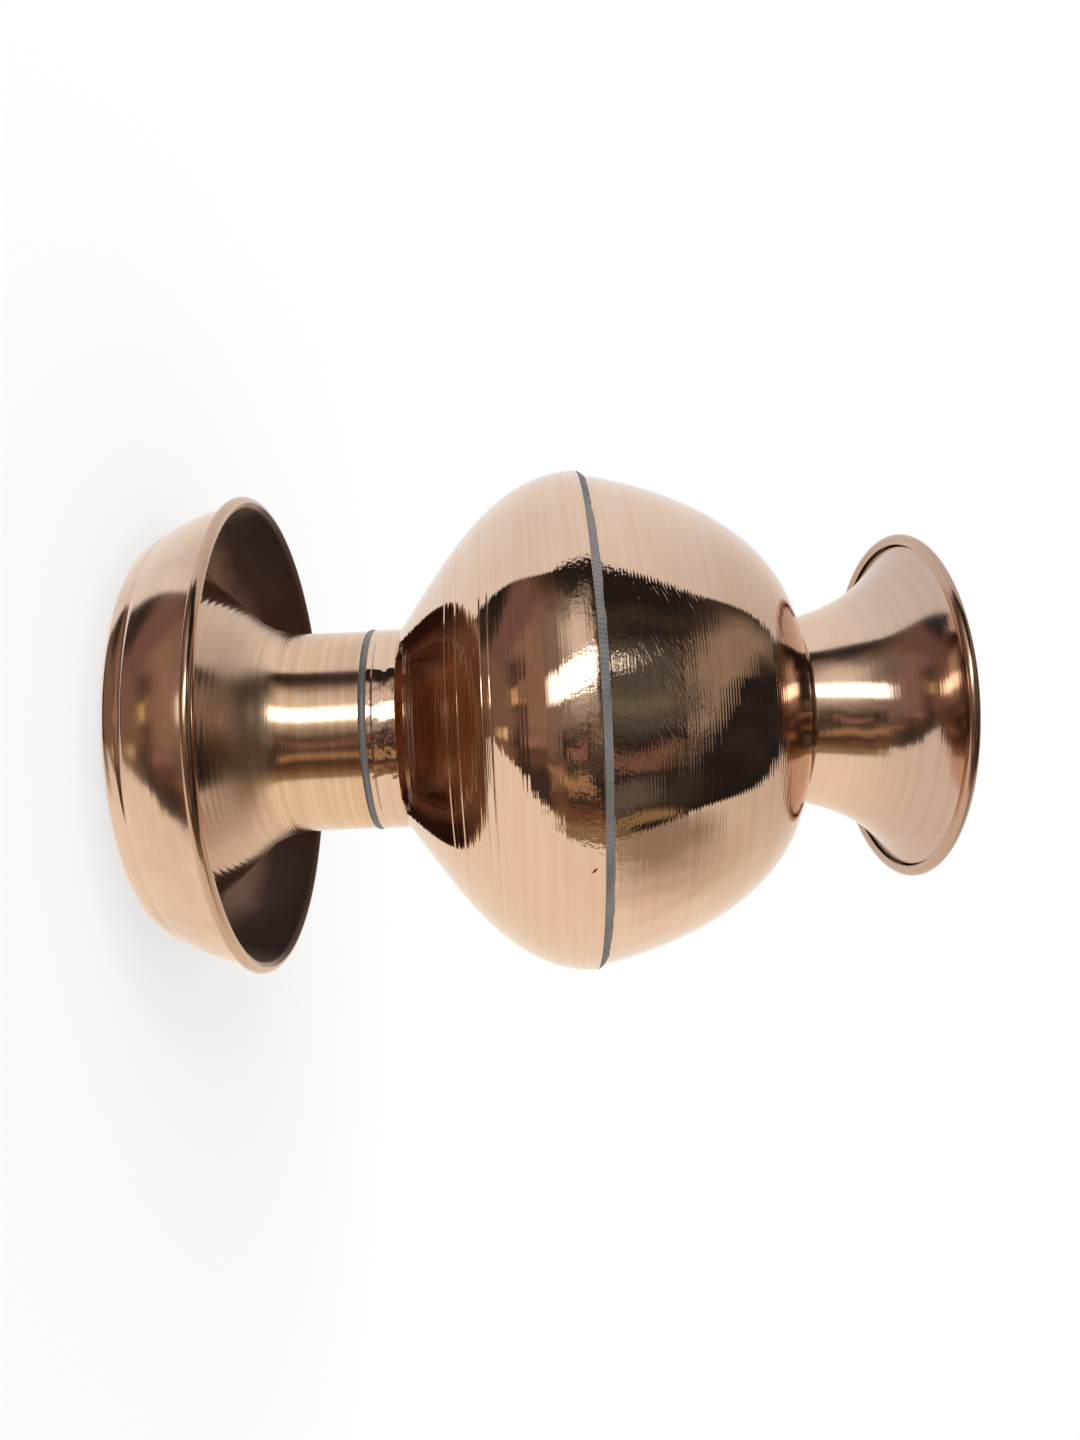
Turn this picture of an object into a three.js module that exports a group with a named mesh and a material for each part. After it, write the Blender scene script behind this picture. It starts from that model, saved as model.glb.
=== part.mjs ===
// A copper lota on a saucer foot: a stem, a round body of two soldered halves and a trumpet mouth.
// Millimetres, +Z up, standing on its foot, with the origin at the centre of the underside.
// Every piece is spun or drawn round the Z axis, so each one is a section turned about that axis.
import * as THREE from "three";

const { degToRad } = THREE.MathUtils;

// Sheet, rim wire and joints
const sheet = 0.9;
const lapGap = 0.15;
const rimWireRadius = 0.6;
const rimWireGap = 0.1;
const rimCurlTurn = degToRad(270);

// Saucer foot
const baseRadius = 55;
const baseEdgeRound = 1.2;
const dishWallTilt = degToRad(29);
const bandHeight = 4.4;
const grooveWidth = 1.6;
const grooveDepth = 0.5;
const dishLipRadius = 65.8;
const dishLipHeight = 22.7;
const dishLipTilt = degToRad(6);
const dishFullness = [0.35, 0.35];

// Pedestal inside the foot, with the stem that carries the body
const coneInset = 3.5;
const coneRise = 24.5;
const hollowReach = 6.5;
const stemFootRadius = 28.9;
const stemFootTilt = degToRad(-6);
const stemFootRise = 16;
const stemFootFullness = [0.35, 0.35];
const stemRadius = 27.9;
const stemLength = 27.6;

// Lower half of the body, with the collar that stands on the stem
const spigotDepth = 6;
const spigotFloorRound = 1.5;
const collarStep = 0.2;
const collarHeight = 7.5;
const bodyRadius = 69.2;
const lowerBodyHeight = 49.5;
const lowerStartTilt = degToRad(53.3);
const lowerFullness = [0.33, 0.359];

// Upper half of the body, lapped inside the lower half
const bodyLap = 6;
const upperBodyHeight = 56;
const upperStartTilt = degToRad(-9);
const shoulderTilt = degToRad(-74.5);
const upperFullness = [0.421, 0.264];
const neckFillet = 6.2;
const neckRise = 3.2;

// Trumpet mouth
const mouthTubeRadius = 26;
const mouthTubeDepth = 9;
const mouthRise = 31;
const mouthRadius = 48.6;
const mouthStartTilt = degToRad(11);
const mouthLipTilt = degToRad(63.5);
const mouthFullness = [0.432, 0.311];

// Solder
const stemSolderWidth = 1.8;
const stemSolderBulge = 0.3;
const bodySolderWidth = 2;
const bodySolderEdge = 0.3;
const coneSolderWidth = 2.5;
const neckSolderWidth = 2;

// Faceting
const turnSteps = 40;
const longCurveSteps = 9;
const shortCurveSteps = 5;
const roundSteps = 3;
const curlSteps = 6;

// Heights that follow from the sizes above
const dishFloor = sheet;
const coneTopHeight = dishFloor + coneRise;
const stemTop = coneTopHeight + stemLength;
const collarBottom = stemTop + stemSolderWidth;
const collarTop = collarBottom + collarHeight;
const bodySeam = collarTop + lowerBodyHeight;
const shoulderHeight = bodySeam + upperBodyHeight;
const neckTop = shoulderHeight + neckRise;
const mouthLipHeight = neckTop + mouthRise;

// Radii that follow from the fits
const coneBaseRadius = baseRadius - coneInset;
const spigotRadius = stemRadius - sheet - lapGap;
const collarRadius = stemRadius + collarStep;
const neckRadius = mouthTubeRadius + lapGap + sheet;
const shoulderRadius = neckRadius + neckFillet;
const curlInside = rimWireRadius + rimWireGap;
const curlOutside = curlInside + sheet;

const point = (radius, height) => new THREE.Vector2(radius, height);

// The unit direction of a wall that leans out from the vertical by a tilt.
const along = (tilt) => point(Math.sin(tilt), Math.cos(tilt));
const upright = 0;
const level = degToRad(90);

// A smooth stretch of wall that leaves one point and reaches another at given tilts.
function wall(from, fromTilt, to, toTilt, [fromFullness, toFullness], steps) {
  const chord = from.distanceTo(to);
  const leave = from.clone().addScaledVector(along(fromTilt), fromFullness * chord);
  const arrive = to.clone().addScaledVector(along(toTilt), -toFullness * chord);
  return new THREE.CubicBezierCurve(from, leave, arrive, to).getPoints(steps);
}

// A corner rounded off between two points.
function rounded(from, corner, to) {
  return new THREE.QuadraticBezierCurve(from, corner, to).getPoints(roundSteps);
}

// The inner face of a sheet whose outer face is given, mitred at its corners.
// The tilts say how the sheet leaves its first point and reaches its last one.
function innerSide(outerFace, startTilt, endTilt) {
  const leftOf = (direction) => point(-direction.y, direction.x);
  const spans = outerFace.slice(1).map((here, i) => here.clone().sub(outerFace[i]).normalize());
  const start = along(startTilt);
  const end = along(endTilt);
  const arriving = [start, ...spans.slice(0, -1), end].map(leftOf);
  const leaving = [start, ...spans.slice(1), end].map(leftOf);
  return outerFace.map((here, i) => {
    const miter = arriving[i].clone().add(leaving[i]);
    return here.clone().addScaledVector(miter, (2 * sheet) / miter.lengthSq());
  });
}

// Where a line that climbs crosses a height, or one that runs inwards crosses a radius.
function crossing(line, key, value) {
  const span = line.findIndex((here, i) => i > 0 && (line[i - 1][key] - value) * (here[key] - value) <= 0);
  const [from, to] = [line[span - 1], line[span]];
  return from.clone().lerp(to, (value - from[key]) / (to[key] - from[key]));
}

const radiusAt = (line, height) => crossing(line, "y", height).x;
const heightAt = (line, radius) => crossing(line, "x", radius).y;

// A rim rolled outwards round a wire: its centre, the wall's end, and the two faces of the rolled sheet.
function rimCurl(outermostRadius, centreHeight, tilt) {
  const centre = point(outermostRadius - curlOutside, centreHeight);
  const startAngle = Math.PI - tilt;
  const arc = (radius) => {
    const turn = new THREE.EllipseCurve(
      centre.x, centre.y, radius, radius, startAngle, startAngle - rimCurlTurn, true);
    return turn.getPoints(curlSteps);
  };
  const wireSide = arc(curlInside);
  return { centre, wallEnd: wireSide[0], wireSide, openSide: arc(curlOutside) };
}

const materials = {
  copper: new THREE.MeshStandardMaterial({ color: 0xc98f6b, roughness: 0.22, metalness: 1 }),
  solder: new THREE.MeshStandardMaterial({ color: 0x8b8c8c, roughness: 0.45, metalness: 1 }),
  wire: new THREE.MeshStandardMaterial({ color: 0x8f8a86, roughness: 0.5, metalness: 1 }),
};

const lota = new THREE.Group();
lota.name = "lota";

// Turns a section about the Z axis. The section runs up its outer side and down its inner side.
function turned(name, section, material) {
  const geometry = new THREE.LatheGeometry(section, turnSteps);
  geometry.rotateX(Math.PI / 2);
  const mesh = new THREE.Mesh(geometry, material.clone());
  mesh.name = name;
  lota.add(mesh);
}

// A ring whose section is closed on itself.
function turnedRing(name, section, material) {
  turned(name, [...section, section[0]], material);
}

// A sheet piece with its two faces, both listed upwards. One that starts off the axis is a ring.
function turnedSheet(name, outerFace, innerFace) {
  const section = [...outerFace, ...innerFace.slice().reverse()];
  const make = outerFace[0].x === 0 ? turned : turnedRing;
  make(name, section, materials.copper);
}

function rimWire(name, curl) {
  const circle = new THREE.EllipseCurve(curl.centre.x, curl.centre.y, rimWireRadius, rimWireRadius);
  turned(name, circle.getPoints(curlSteps), materials.wire);
}

// Saucer foot: a flat floor, a band and groove, a bowl and a rolled lip
function addFoot() {
  const onWall = (height) => point(baseRadius + Math.tan(dishWallTilt) * height, height);
  const grooveTop = bandHeight + grooveWidth;
  const groove = onWall(bandHeight + grooveWidth / 2);
  groove.x -= grooveDepth;
  const lip = rimCurl(dishLipRadius, dishLipHeight, dishLipTilt);
  const bowl = wall(onWall(grooveTop), dishWallTilt, lip.wallEnd, dishLipTilt, dishFullness, shortCurveSteps);
  const edge = rounded(point(baseRadius - baseEdgeRound, 0), onWall(0), onWall(baseEdgeRound));
  const outerFace = [point(0, 0), ...edge, onWall(bandHeight), groove, ...bowl, ...lip.wireSide.slice(1)];
  const innerWall = innerSide([point(0, 0), onWall(0), ...bowl], level, dishLipTilt);
  const innerFace = [...innerWall.slice(0, -1), ...lip.openSide];
  turnedSheet("foot_dish", outerFace, innerFace);
  rimWire("foot_rim_wire", lip);
}

// Pedestal: a straight cone that stands on the dish floor, and a stem with a gently flared foot
function addPedestal() {
  const coneBase = point(coneBaseRadius, dishFloor);
  const corner = point(stemFootRadius, coneTopHeight);
  const coneLength = corner.distanceTo(coneBase);
  const coneEnd = corner.clone().lerp(coneBase, hollowReach / coneLength);
  const footStart = corner.clone().addScaledVector(along(stemFootTilt), hollowReach);
  const footEnd = point(stemRadius, coneTopHeight + stemFootRise);
  const hollow = rounded(coneEnd, corner, footStart);
  const foot = wall(footStart, stemFootTilt, footEnd, upright, stemFootFullness, roundSteps);
  const outerFace = [coneBase, ...hollow, ...foot.slice(1), point(stemRadius, stemTop)];
  const innerFace = innerSide(outerFace, upright, upright);
  // The cone's lower edge is cut level, which leaves it wider than the sheet is thick.
  innerFace[0].x = coneBaseRadius - (sheet * coneLength) / coneRise;
  turnedSheet("pedestal", outerFace, innerFace);

  const reach = (height) => point(radiusAt(innerFace, height) - lapGap, height);
  const solderOuter = reach(dishFloor);
  const solderTop = reach(dishFloor + coneSolderWidth);
  const solderInner = point(solderOuter.x - coneSolderWidth, dishFloor);
  turnedRing("pedestal_solder", [solderInner, solderOuter, solderTop], materials.solder);
}

// Lower half: a closed spigot in the stem, a collar, and a wall that opens out to the seam
function addLowerBody() {
  const floor = stemTop - spigotDepth;
  const spigotCorner = point(spigotRadius, floor);
  const spigotFloor = rounded(
    point(spigotRadius - spigotFloorRound, floor), spigotCorner, point(spigotRadius, floor + spigotFloorRound));
  const collar = [
    point(spigotRadius, collarBottom),
    point(collarRadius, collarBottom),
  ];
  const opening = wall(
    point(collarRadius, collarTop), lowerStartTilt,
    point(bodyRadius, bodySeam), upright, lowerFullness, longCurveSteps);
  const outerFace = [point(0, floor), ...spigotFloor, ...collar, ...opening];
  const innerFace = innerSide([point(0, floor), spigotCorner, ...collar, ...opening], level, upright);
  turnedSheet("lower_body", outerFace, innerFace);

  const middle = (stemTop + collarBottom) / 2;
  const solder = [
    point(spigotRadius + lapGap, stemTop),
    point(stemRadius, stemTop),
    point(collarRadius + stemSolderBulge, middle),
    point(collarRadius, collarBottom),
    point(spigotRadius + lapGap, collarBottom),
  ];
  turnedRing("stem_solder", solder, materials.solder);
  return innerFace;
}

// Upper half: an edge lapped inside the lower half, a dome, and a low neck that holds the mouth
function addUpperBody(lowerInnerFace) {
  const lapFit = (height) => point(radiusAt(lowerInnerFace, height) - lapGap, height);
  const seam = lapFit(bodySeam);
  const shoulder = point(shoulderRadius, shoulderHeight);
  const dome = wall(seam, upperStartTilt, shoulder, shoulderTilt, upperFullness, longCurveSteps);
  const filletCorner = point(neckRadius, shoulderHeight + neckFillet / Math.tan(-shoulderTilt));
  const neck = rounded(shoulder, filletCorner, point(neckRadius, neckTop));
  const outerFace = [lapFit(bodySeam - bodyLap), ...dome, ...neck.slice(1)];
  const innerFace = innerSide(outerFace, upright, upright);
  turnedSheet("upper_body", outerFace, innerFace);

  const solderTop = bodySeam + bodySolderWidth;
  const solder = [
    point(seam.x + lapGap, bodySeam),
    point(bodyRadius, bodySeam),
    point(radiusAt(dome, solderTop) + lapGap + bodySolderEdge, solderTop),
    point(radiusAt(dome, solderTop) + lapGap, solderTop),
  ];
  turnedRing("body_solder", solder, materials.solder);
  return innerFace;
}

// Trumpet mouth: a tube in the neck that flares to a rolled rim
function addMouth(upperInnerFace) {
  const lip = rimCurl(mouthRadius, mouthLipHeight, mouthLipTilt);
  const flareStart = point(mouthTubeRadius, neckTop);
  const flare = wall(flareStart, mouthStartTilt, lip.wallEnd, mouthLipTilt, mouthFullness, longCurveSteps);
  const wallFace = [point(mouthTubeRadius, neckTop - mouthTubeDepth), ...flare];
  const outerFace = [...wallFace, ...lip.wireSide.slice(1)];
  const innerFace = [...innerSide(wallFace, upright, mouthLipTilt).slice(0, -1), ...lip.openSide];
  turnedSheet("mouth_flare", outerFace, innerFace);
  rimWire("mouth_rim_wire", lip);

  const solderInside = mouthTubeRadius + lapGap;
  const solderOutside = solderInside + neckSolderWidth;
  const solderTop = heightAt(upperInnerFace, solderOutside) - lapGap;
  const solder = [
    point(solderInside, solderTop - neckSolderWidth),
    point(solderOutside, solderTop),
    point(solderInside, solderTop),
  ];
  turnedRing("neck_solder", solder, materials.solder);
}

addFoot();
addPedestal();
const lowerInnerFace = addLowerBody();
const upperInnerFace = addUpperBody(lowerInnerFace);
addMouth(upperInnerFace);

export default lota;
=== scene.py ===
import math
from collections import namedtuple

import bmesh
import bpy
import numpy as np
from mathutils import Matrix, Vector, noise


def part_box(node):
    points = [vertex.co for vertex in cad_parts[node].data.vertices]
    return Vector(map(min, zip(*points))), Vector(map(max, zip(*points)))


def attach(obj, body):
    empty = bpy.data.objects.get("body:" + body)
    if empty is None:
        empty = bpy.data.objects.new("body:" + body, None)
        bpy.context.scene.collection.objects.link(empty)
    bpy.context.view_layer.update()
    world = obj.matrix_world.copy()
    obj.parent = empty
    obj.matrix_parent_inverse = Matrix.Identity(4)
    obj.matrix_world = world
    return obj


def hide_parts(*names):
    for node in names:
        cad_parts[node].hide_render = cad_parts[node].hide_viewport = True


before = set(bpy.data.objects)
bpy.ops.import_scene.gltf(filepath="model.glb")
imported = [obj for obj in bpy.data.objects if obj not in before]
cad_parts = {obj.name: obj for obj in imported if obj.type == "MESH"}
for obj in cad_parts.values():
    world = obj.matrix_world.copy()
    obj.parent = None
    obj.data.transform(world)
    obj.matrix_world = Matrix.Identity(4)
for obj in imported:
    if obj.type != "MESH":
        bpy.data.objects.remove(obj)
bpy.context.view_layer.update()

MM = 0.001
DEGREE = math.pi / 180
FULL_TURN = 2 * math.pi
UPRIGHT = 0.0
LEVEL = 90 * DEGREE
FULL_METAL = 1.0

# Steps too short to keep, and radii that count as none
SAME_PLACE = 1e-9
ON_AXIS = 1e-7


def bottom(node):
    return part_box(node)[0].z


def top(node):
    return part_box(node)[1].z


def reach(node):
    """A node's outermost radius."""
    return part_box(node)[1].x


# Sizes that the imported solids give
dish_floor = bottom("pedestal")
cone_base_radius = reach("pedestal")
stem_top = top("pedestal")
collar_bottom = top("stem_solder")
spigot_floor = bottom("lower_body")
body_seam = top("lower_body")
body_radius = reach("lower_body")
body_solder_top = top("body_solder")
lap_bottom = bottom("upper_body")
neck_top = top("upper_body")
mouth_tube_bottom = bottom("mouth_flare")
foot_wire_bottom = bottom("foot_rim_wire")
foot_wire_top = top("foot_rim_wire")
wire_radius = (foot_wire_top - foot_wire_bottom) / 2

# The pedestal stands on the dish's floor, which is one sheet thick.
sheet = dish_floor

# Fits, rims and edges
lap_gap = 0.15 * MM
wire_gap = 0.1 * MM
edge_round = 0.28 * MM
curl_turn = 270 * DEGREE
curl_inside = wire_radius + wire_gap
curl_outside = curl_inside + sheet

# Saucer foot
base_radius = 55 * MM
base_edge_round = 1.2 * MM
dish_wall_tilt = 29 * DEGREE
band_height = 4.4 * MM
band_bulge = 0.25 * MM
groove_width = 1.6 * MM
groove_depth = 0.5 * MM
dish_lip_tilt = 6 * DEGREE
dish_fullness = (0.35, 0.35)
# The share of the lip's roll where the inside's painted shade starts
dark_inside_start = 0.3

# Pedestal
cone_rise = 24.5 * MM
cone_top = dish_floor + cone_rise
cone_ridge_pitch = 1.6 * MM
cone_ridge_depth = 0.013 * MM
hollow_reach = 6.5 * MM
stem_foot_radius = 28.9 * MM
stem_foot_tilt = -6 * DEGREE
stem_foot_rise = 16 * MM
stem_foot_fullness = (0.35, 0.35)
stem_radius = 27.9 * MM

# Lower half of the body
spigot_radius = stem_radius - sheet - lap_gap
spigot_round = 1.5 * MM
collar_step = 0.2 * MM
collar_height = 7.5 * MM
collar_radius = stem_radius + collar_step
collar_top = collar_bottom + collar_height
lower_start_tilt = 53.3 * DEGREE
lower_fullness = (0.33, 0.359)
scribe_width = 0.5 * MM
scribe_depth = 0.17 * MM
scribe_margin = 0.15 * MM
collar_scribes = [56.3 * MM]
body_scribes = [77.0 * MM, 79.9 * MM, 85.9 * MM, 87.8 * MM]

# Trumpet mouth
mouth_tube_radius = 26 * MM
mouth_start_tilt = 11 * DEGREE
mouth_lip_tilt = 63.5 * DEGREE
mouth_fullness = (0.432, 0.311)

# Upper half of the body
upper_start_tilt = -9 * DEGREE
upper_fullness = (0.421, 0.264)
shoulder_tilt = -74.5 * DEGREE
neck_radius = mouth_tube_radius + lap_gap + sheet
neck_fillet = 6.2 * MM
neck_rise = 3.2 * MM
shoulder_radius = neck_radius + neck_fillet
shoulder_height = neck_top - neck_rise

# Solder
cone_solder_width = 2.5 * MM
cone_solder_waist = 0.9 * MM
stem_solder_bulge = 0.25 * MM
neck_solder_waist = 0.5 * MM
solder_thickness = 0.8 * MM
# The seam: shares of its width and of the step that it fills, and the power by which its face falls
seam_edge_wander = 0.16
seam_edge_sway = 0.14
seam_fill = 0.93
seam_fill_wander = 0.05
seam_fall = 1.6
# Noise round a ring: the circle that it is read on, and its dimension, gap and octaves
lump_circle = 5
lump_layers = (0.8, 2.0, 4)
wander_circle = 9
wander_layers = (0.9, 2.1, 5)
wander_seed = 0.4
sway_circle = 1.6
sway_seed = 7.0

# Fineness of the meshes
around = 192
solder_around = 480
long_steps = 128
curve_steps = 64
short_steps = 28
curl_steps = 24
hollow_steps = 12
crown_steps = 10
fillet_steps = 8
tube_steps = 8
seam_steps = 6
round_steps = 6
points_per_ridge = 8
# Corners that are rounded, the share of a side that a round may take, and edges that look sharp
sharp_turn = 25 * DEGREE
most_of_side = 0.45
sharp_edge = 40 * DEGREE

# Marks on the metal
# A scale counts the noise's features in a metre, and a noise range is where a mark comes in.

# Turning ridges
ridge_pitch = 0.8 * MM
ridge_patch_scale = 30.0
ridge_patch_noise = (0.3, 0.6)
least_ridge = 0.45
random_periods = (1.9 * MM, 0.7 * MM)

# Slow waves, smudges, and the streaks and tints that follow the rings
ring_stretch = 60.0
slow_wave_scale = 45.0
slow_wave_depth = 0.05 * MM
smudge_scale = 38.0
smudge_noise = (0.45, 0.75)
streak_scale = 40.0
tint_scale = 15.0
tint_noise = (0.3, 0.75)
shine_change = 0.03
least_blush = 0.8

# Dimpled sheet beside the seam
peel_start = 2 * MM
peel_reach = 11 * MM
peel_size = 1.1 * MM
peel_depth = 0.05 * MM

# Dents in the collar
dent_heights = (collar_top - 1 * MM, collar_top + 2 * MM)
dent_size = 3.5 * MM
dent_depth = 0.22 * MM

# Brushed patch on the dome, with its turns in radians
brush_turns = (-0.52, 0.2)
brush_turn_edge = 0.16
brush_heights = (114 * MM, 140 * MM)
brush_height_edge = 7 * MM
brush_lean = 24 * DEGREE
brush_scale_along = 170.0
brush_scale_across = 2100.0
brush_noise = (0.5, 0.72)
brush_depth = 0.018 * MM

# Nick in the lower half
nick_turn = 28.8 * DEGREE
nick_height = 109.2 * MM
nick_width = 0.55 * MM
nick_length = 0.9 * MM
nick_edge = (0.7, 1.0)

# Painted shade inside the foot, and a painted reflection that makes it lighter towards the front
shade_cloud_scale = 55.0
shade_sway = 10 * MM
shade_heights = (6 * MM, 16 * MM)
front_reflection_turns = (65 * DEGREE, 120 * DEGREE)
front_reflection_sway = 0.6
shaded_inside_shine_change = 0.12
shaded_inside_ridge_slope = 0.4 * DEGREE
shaded_inside_random_slope = 0.6 * DEGREE

# Dull metal: its lumps, its stains, the ribs that a scraper left, and painted shade at a seam's sides
lump_scale = 900.0
lump_noise = (0.3, 0.7)
lump_depth = 0.05 * MM
stain_scale = 90.0
stain_noise = (0.4, 0.7)
rib_depth = 0.06 * MM
rib_side_shade = 0.6
rib_side_shade_turns = (30 * DEGREE, 70 * DEGREE)
dull_roughness = (0.38, 0.55)


# Lines of a section, each an array of radius and height

def point(radius, height):
    return np.array([radius, height])


def along(tilt):
    """The direction of a wall that leans out from the vertical by a tilt."""
    return point(math.sin(tilt), math.cos(tilt))


def line(*points):
    return np.array(points)


def joined(*lines):
    """Lines end to end, without the points that they share."""
    path = np.concatenate(lines)
    steps = np.linalg.norm(np.diff(path, axis=0), axis=1)
    return path[np.concatenate([[True], steps > SAME_PLACE])]


def curve(*control, steps):
    """A Bezier curve through its first and last control points."""
    share = np.linspace(0, 1, steps + 1)[:, None]
    level_points = [np.asarray(p) * np.ones_like(share) for p in control]
    while len(level_points) > 1:
        level_points = [a + (b - a) * share for a, b in zip(level_points, level_points[1:])]
    return level_points[0]


def wall(start, start_tilt, end, end_tilt, fullness, steps):
    """A smooth wall that leaves one point and reaches another at given tilts."""
    chord = np.linalg.norm(end - start)
    leave = start + along(start_tilt) * fullness[0] * chord
    arrive = end - along(end_tilt) * fullness[1] * chord
    return curve(start, leave, arrive, end, steps=steps)


def arc(centre, radius, start, turn):
    angles = start + turn * np.linspace(0, 1, curl_steps + 1)
    return centre + radius * np.stack([np.cos(angles), np.sin(angles)], axis=1)


def straight(start, end, steps):
    return start + (end - start) * np.linspace(0, 1, steps + 1)[:, None]


def lengths(path):
    """The distance along a path of each of its points."""
    return np.concatenate([[0], np.cumsum(np.linalg.norm(np.diff(path, axis=0), axis=1))])


def at_length(path, places):
    """The points of a path at given distances along it."""
    run = lengths(path)
    return np.stack([np.interp(places, run, path[:, i]) for i in (0, 1)], axis=-1)


def normals(path):
    """The unit direction to the right of a path, which is outwards on an outer face."""
    run = np.gradient(path, axis=0)
    run /= np.linalg.norm(run, axis=1)[:, None]
    return np.stack([run[:, 1], -run[:, 0]], axis=1)


def eased(path, radius):
    """The path with its sharp corners rounded off."""
    made = [path[0]]
    for before, corner, after in zip(path, path[1:], path[2:]):
        arriving = corner - before
        leaving = after - corner
        swing = arriving[0] * leaving[1] - arriving[1] * leaving[0]
        if abs(math.atan2(swing, arriving @ leaving)) < sharp_turn:
            made.append(corner)
            continue
        sides = np.linalg.norm(arriving), np.linalg.norm(leaving)
        room = min(radius, most_of_side * min(sides))
        first = corner - arriving / sides[0] * room
        last = corner + leaving / sides[1] * room
        made.extend(curve(first, corner, last, steps=round_steps))
    made.append(path[-1])
    return np.array(made)


def inner_side(path, start_tilt, end_tilt):
    """The inner face of a sheet whose outer face is given, mitred at its corners."""
    spans = np.diff(path, axis=0)
    spans /= np.linalg.norm(spans, axis=1)[:, None]
    arriving = np.vstack([along(start_tilt), spans[:-1], along(end_tilt)])
    leaving = np.vstack([along(start_tilt), spans[1:], along(end_tilt)])
    miter = np.stack([-(arriving + leaving)[:, 1], (arriving + leaving)[:, 0]], axis=1)
    return path + miter * (2 * sheet / (miter ** 2).sum(axis=1))[:, None]


def scribed(path, heights):
    """The path with a fine V-shaped line cut in it at each height."""
    half = scribe_width / 2
    clear = half + scribe_margin
    for height in heights:
        run = lengths(path)
        middle = np.interp(height, path[:, 1], run)
        cut = at_length(path, middle + np.array([-clear, -half, 0, half, clear]))
        cut[2] -= scribe_depth * normals(cut[[1, 3]])[0]
        path = np.vstack([path[run < middle - clear], cut, path[run > middle + clear]])
    return path


def ridged(path, pitch, depth):
    """A path with even turning ridges, which fade out at both ends."""
    length = lengths(path)[-1]
    fine = np.linspace(0, length, int(length / pitch * points_per_ridge))
    path = at_length(path, fine)
    fade = np.minimum(1, np.minimum(fine, length - fine) / (2 * pitch))
    return path + normals(path) * (depth * fade * np.cos(FULL_TURN * fine / pitch))[:, None]


def rim_curl(wire_node, outermost, tilt):
    """A rim rolled outwards round a wire: its centre and the two faces of the rolled sheet."""
    centre = point(outermost - curl_outside, (bottom(wire_node) + top(wire_node)) / 2)
    start = math.pi - tilt
    wire_side = arc(centre, curl_inside, start, -curl_turn)
    open_side = arc(centre, curl_outside, start, -curl_turn)
    return centre, wire_side, open_side


# Meshes

def ring_turns(steps):
    return FULL_TURN * np.arange(steps) / steps


def turned_rows(sections):
    """Rows of vertices from the section at each place round the axis, the camera's side first."""
    turns = ring_turns(sections.shape[1])
    direction = np.stack([np.sin(turns), -np.cos(turns)], axis=1)
    return np.concatenate([sections[:, :, :1] * direction, sections[:, :, 1:]], axis=2)


def evenly(section):
    """The same section at each place round the axis."""
    return np.repeat(section[:, None], around, axis=1)


def mesh_of_rows(name, rows, is_ring, inner_from=None):
    """A closed mesh from rows of vertices that go round the axis.

    rows is (row, place round the axis, xyz). A row of no radius becomes one vertex, and rows from
    inner_from on take the second material. The mesh keeps the distance along its section as an
    attribute, and a map that unrolls it.
    """
    count, turn = rows.shape[:2]
    radii = np.linalg.norm(rows[:, 0, :2], axis=1)
    is_pole = radii < ON_AXIS
    run = lengths(np.stack([radii, rows[:, 0, 2]], axis=1))
    places = []
    runs = []
    index = np.zeros((count, turn), int)
    for i in range(count):
        width = 1 if is_pole[i] else turn
        index[i] = len(places) + np.arange(turn) % width
        places.extend(rows[i, :width])
        runs.extend([run[i]] * width)
    spans = count - 1
    if is_ring:
        spans = count
        run = np.append(run, run[-1] + np.linalg.norm(rows[0, 0] - rows[-1, 0]))
    shares = run / run[-1]
    faces = []
    maps = []
    materials = []
    for i in range(spans):
        j = (i + 1) % count
        low, high = shares[i], shares[i + 1]
        for k in range(turn):
            m = (k + 1) % turn
            corners = [
                (index[i, k], k, low),
                (index[i, m], k + 1, low),
                (index[j, m], k + 1, high),
                (index[j, k], k, high),
            ]
            if is_pole[i]:
                del corners[1]
            elif is_pole[j]:
                del corners[3]
            faces.append([vertex for vertex, across, up in corners])
            maps.extend([(across / turn, up) for vertex, across, up in corners])
            materials.append(1 if inner_from is not None and i >= inner_from else 0)
    mesh = bpy.data.meshes.new(name)
    mesh.from_pydata(places, [], faces)
    mesh.polygons.foreach_set("material_index", materials)
    mesh.attributes.new("run", "FLOAT", "POINT").data.foreach_set("value", runs)
    mesh.uv_layers.new(name="OFBake").uv.foreach_set("vector", np.array(maps, np.float32).ravel())
    mesh.shade_smooth()
    mesh.set_sharp_from_angle(angle=sharp_edge)
    mesh.update()
    return mesh


def place(name, mesh, node, materials):
    """Puts a mesh on the one body, in place of its CAD node."""
    piece = bpy.data.objects.new(name, mesh)
    bpy.context.scene.collection.objects.link(piece)
    for material in materials:
        mesh.materials.append(material)
    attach(piece, "root")
    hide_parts(node)


def place_sheet(name, node, outer, inner, materials, inner_starts=None):
    """A sheet piece from its two faces, both listed upwards. One that starts off the axis is a ring.

    The second material starts at a given point of the inner face, or at the sheet's upper edge.
    """
    is_ring = outer[0, 0] > ON_AXIS
    loop = np.vstack([outer, inner[::-1]])
    if is_ring:
        # The loop's ends are the sheet's lower edge, which is rounded with the rest.
        middle = (outer[0] + inner[0]) / 2
        loop = eased(np.vstack([middle, loop, middle]), edge_round)[:-1]
    else:
        loop = eased(loop, edge_round)
    if inner_starts is None:
        inner_starts = (outer[-1] + inner[-1]) / 2
    inner_from = int(np.argmin(np.linalg.norm(loop - inner_starts, axis=1)))
    mesh = mesh_of_rows(name, turned_rows(evenly(loop)), is_ring, inner_from)
    place(name, mesh, node, materials)


def place_ring(name, node, sections, material):
    """A closed ring from its section at each place round the axis."""
    place(name, mesh_of_rows(name, turned_rows(sections), True), node, [material])


# Node helpers

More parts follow.
